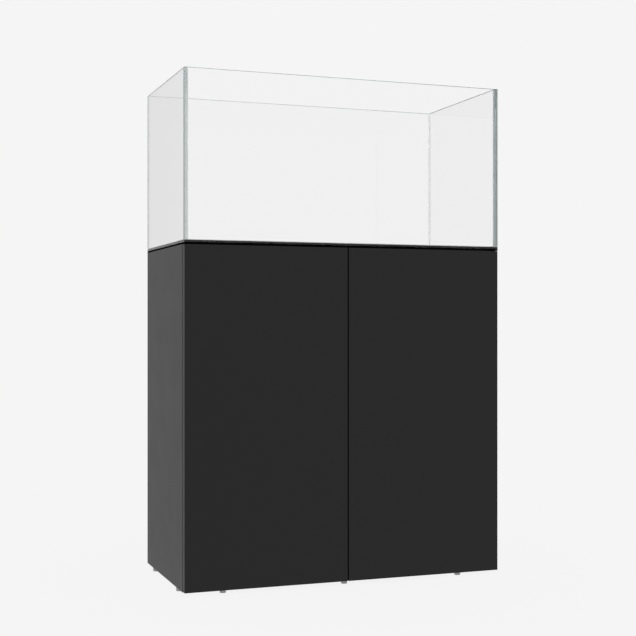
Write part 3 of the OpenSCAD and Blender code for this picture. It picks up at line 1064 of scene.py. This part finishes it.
class AQUARIUM_OT_fasteners(PieceOperator):
    """Place the screws, cams, bolts, nails and glides by geometry nodes"""

    bl_idname = "aquarium.fasteners"
    bl_label = "Screws, cams and glides"

    def execute(self, context):
        quarter = math.pi / 2
        backward = (-quarter, 0, 0)
        # Sizes of a kind of screw: shank's radius, head's height, recess's radius
        # Back screws: countersunk, their heads flush in the back panel
        flush = (1.6 * MM, 2.0 * MM, 1.5 * MM)
        screw_set(
            "back_panel_screws", "back_screws", flush, axis=1, outward=1, turn=backward, seed=3
        )
        for side, sign in (("left", -1), ("right", 1)):
            # Cup screws run into the door along -Y, their pan heads toward the cabinet
            pan = (1.6 * MM, 1.5 * MM, 1.5 * MM)
            screw_set(
                f"{side}_cup_pan_screws",
                f"{side}_cup_screws",
                pan,
                axis=1,
                outward=1,
                turn=backward,
                seed=5,
            )
            # Plate screws run into the side, their heads toward the middle of the cabinet
            large = (2.4 * MM, 1.8 * MM, 1.9 * MM)
            sideways = (0, -sign * quarter, 0)
            screw_set(
                f"{side}_plate_pan_screws",
                f"{side}_plate_screws",
                large,
                axis=0,
                outward=-sign,
                turn=sideways,
                seed=7,
            )
        # Glides: a turned foot with a dished sole round the nail's hole
        found = solid_boxes("glides")
        low, high = found[0]
        radius, height = (high.x - low.x) / 2, high.z - low.z
        profile = [
            (0, 2.6 * MM),
            (1.7 * MM, 2.6 * MM),
            (2.6 * MM, 0.6 * MM),
            (3.2 * MM, 0.05 * MM),
        ]
        round_edge = 1.6 * MM
        steps = 6
        for i in range(steps + 1):
            turn = quarter * i / steps
            out = radius - round_edge + round_edge * math.sin(turn)
            profile.append((out, round_edge - round_edge * math.cos(turn)))
        chamfer, seat = 0.4 * MM, height - 0.02 * MM
        profile += [(radius, height - 0.5 * MM), (radius - chamfer, seat), (0, seat)]
        master = hidden_master("glide", lathe(profile, steps=36))
        places = [Vector(((a.x + b.x) / 2, (a.y + b.y) / 2, a.z)) for a, b in found]
        fittings("nailed_glides", "glides", master, places, spin=3.1, seed=11)
        remove_master(master)
        softened("cam_locks", 0.4 * MM, "_cast")
        softened("cam_bolts", 0.2 * MM, "_turned")
        softened("glide_nails", 0.2 * MM, "_drawn")
        return {"FINISHED"}


def room_brightness(tree, heading):
    """How bright the room is along a heading: full where the eye sees it, straight or through
    glass, between the two where it was mirrored inside the glass on its way, and dimmer where the
    object mirrors it or is lit by it, most of all toward the back."""
    s = settings()
    path = add_node(tree, "ShaderNodeLightPath").outputs
    unscattered = add_node(
        tree, "ShaderNodeMath", {0: path["Diffuse Depth"], 1: 0.5}, operation="LESS_THAN"
    )
    kept = add_node(
        tree,
        "ShaderNodeMapRange",
        {"Value": path["Glossy Depth"], "From Max": 1.0, "To Min": 1.0, "To Max": s.inner_light},
    )
    straight = add_node(
        tree,
        "ShaderNodeMath",
        {0: unscattered.outputs[0], 1: kept.outputs["Result"]},
        operation="MULTIPLY",
    )
    seen = add_node(
        tree,
        "ShaderNodeMath",
        {0: path["Is Transmission Ray"], 1: straight.outputs[0], 2: path["Is Camera Ray"]},
        operation="MULTIPLY_ADD",
    )
    unit = add_node(tree, "ShaderNodeVectorMath", {0: heading}, operation="NORMALIZE")
    parts = add_node(tree, "ShaderNodeSeparateXYZ", {0: unit.outputs[0]})
    behind = add_node(
        tree,
        "ShaderNodeMapRange",
        {
            "Value": parts.outputs["Y"],
            "From Min": -0.7,
            "From Max": 0.7,
            "To Min": s.front_light,
            "To Max": s.back_light,
        },
    )
    both = add_node(
        tree,
        "ShaderNodeMix",
        {0: seen.outputs[0], 2: behind.outputs["Result"], 3: 1.0},
        data_type="FLOAT",
    )
    return both.outputs[0]


class AQUARIUM_OT_stage(PieceOperator):
    """Make the floor, the room's light and the camera"""

    bl_idname = "aquarium.stage"
    bl_label = "Floor, light and camera"

    def execute(self, context):
        scene = context.scene
        s = scene.aquarium
        scene.view_settings.view_transform = "Standard"
        scene.view_settings.look = "None"
        # Light runs along the inside of a pane by many reflections before it leaves at an edge
        scene.cycles.max_bounces = 24
        scene.cycles.glossy_bounces = 14
        scene.cycles.transmission_bounces = 20

        world = bpy.data.worlds.new("studio")
        scene.world = world
        world.use_nodes = True
        tree = world.node_tree
        tree.nodes.clear()
        place = add_node(tree, "ShaderNodeTexCoord")
        room = add_node(
            tree,
            "ShaderNodeBackground",
            {"Color": s.backdrop, "Strength": room_brightness(tree, place.outputs["Generated"])},
        )
        add_node(tree, "ShaderNodeOutputWorld", {"Surface": room.outputs[0]})

        # Floor: mostly its own even paleness, with a share of real light near the object. It lies
        # a hair under the glides
        bm = bmesh.new()
        bmesh.ops.create_circle(bm, cap_ends=True, radius=60, segments=64)
        just_under = -0.05 * MM
        bmesh.ops.translate(bm, vec=(0, 0, just_under), verts=bm.verts)
        material = bpy.data.materials.new("pale studio floor")
        material.use_nodes = True
        tree = material.node_tree
        tree.nodes.clear()
        place = add_node(tree, "ShaderNodeTexCoord")
        glow = add_node(
            tree,
            "ShaderNodeEmission",
            {"Color": s.backdrop, "Strength": room_brightness(tree, place.outputs["Object"])},
        )
        matt = add_node(tree, "ShaderNodeBsdfDiffuse", {"Color": s.backdrop})
        # The share of real light is largest under the object and gone 1.1 m away from it
        reach, largest = 0.9, 0.05
        spot = add_node(
            tree,
            "ShaderNodeMapping",
            {"Vector": place.outputs["Object"], "Scale": (reach, reach, reach)},
        )
        fall = add_node(
            tree, "ShaderNodeTexGradient", {"Vector": spot.outputs[0]}, gradient_type="SPHERICAL"
        )
        share = add_node(
            tree, "ShaderNodeMath", {0: fall.outputs["Fac"], 1: largest}, operation="MULTIPLY"
        )
        mixed = add_node(
            tree,
            "ShaderNodeMixShader",
            {0: share.outputs[0], 1: glow.outputs[0], 2: matt.outputs[0]},
        )
        add_node(tree, "ShaderNodeOutputMaterial", {"Surface": mixed.outputs[0]})
        floor = mesh_object("studio_floor", bm, material)

        # One broad soft light overhead, a little in front
        lamp = bpy.data.lights.new("overhead softbox", "AREA")
        lamp.shape = "RECTANGLE"
        lamp.size, lamp.size_y = 4.0, 4.0
        lamp.energy = 60
        holder = bpy.data.objects.new("overhead softbox", lamp)
        holder.location = (-0.4, -0.8, 4.5)
        holder.rotation_euler = (math.radians(8), 0, 0)
        scene.collection.objects.link(holder)

        # Level, half way up the object and 20 degrees round to its left
        data = bpy.data.cameras.new("camera")
        data.sensor_width = 36
        data.lens = 70.81
        data.shift_x = -0.0195
        data.shift_y = 0.011
        data.clip_start, data.clip_end = 0.05, 200
        camera = bpy.data.objects.new("camera", data)
        camera.location = (-1.2106, -3.3586, 0.6998)
        camera.rotation_euler = (math.radians(90), 0, math.radians(-20.303))
        scene.collection.objects.link(camera)
        scene.camera = camera
        return {"FINISHED"}


OPERATORS = (
    AQUARIUM_OT_stage,
    AQUARIUM_OT_panels,
    AQUARIUM_OT_mat,
    AQUARIUM_OT_panes,
    AQUARIUM_OT_seams,
    AQUARIUM_OT_hardware,
    AQUARIUM_OT_fasteners,
)


class AQUARIUM_PT_sidebar(bpy.types.Panel):
    """The aquarium's settings and the steps that build it"""

    bl_idname = "AQUARIUM_PT_sidebar"
    bl_label = "Aquarium on stand"
    bl_space_type = "VIEW_3D"
    bl_region_type = "UI"
    bl_category = "Aquarium"

    def draw(self, context):
        layout = self.layout
        for name in AquariumSettings.__annotations__:
            layout.prop(context.scene.aquarium, name)
        for operator in OPERATORS:
            layout.operator(operator.bl_idname)


CLASSES = (AquariumSettings, *OPERATORS, AQUARIUM_PT_sidebar)


def register():
    for cls in CLASSES:
        bpy.utils.register_class(cls)
    bpy.types.Scene.aquarium = bpy.props.PointerProperty(type=AquariumSettings)


def unregister():
    del bpy.types.Scene.aquarium
    for cls in reversed(CLASSES):
        bpy.utils.unregister_class(cls)


def main():
    register()
    for operator in OPERATORS:
        group, name = operator.bl_idname.split(".")
        getattr(getattr(bpy.ops, group), name)()


if __name__ == "__main__":
    main()
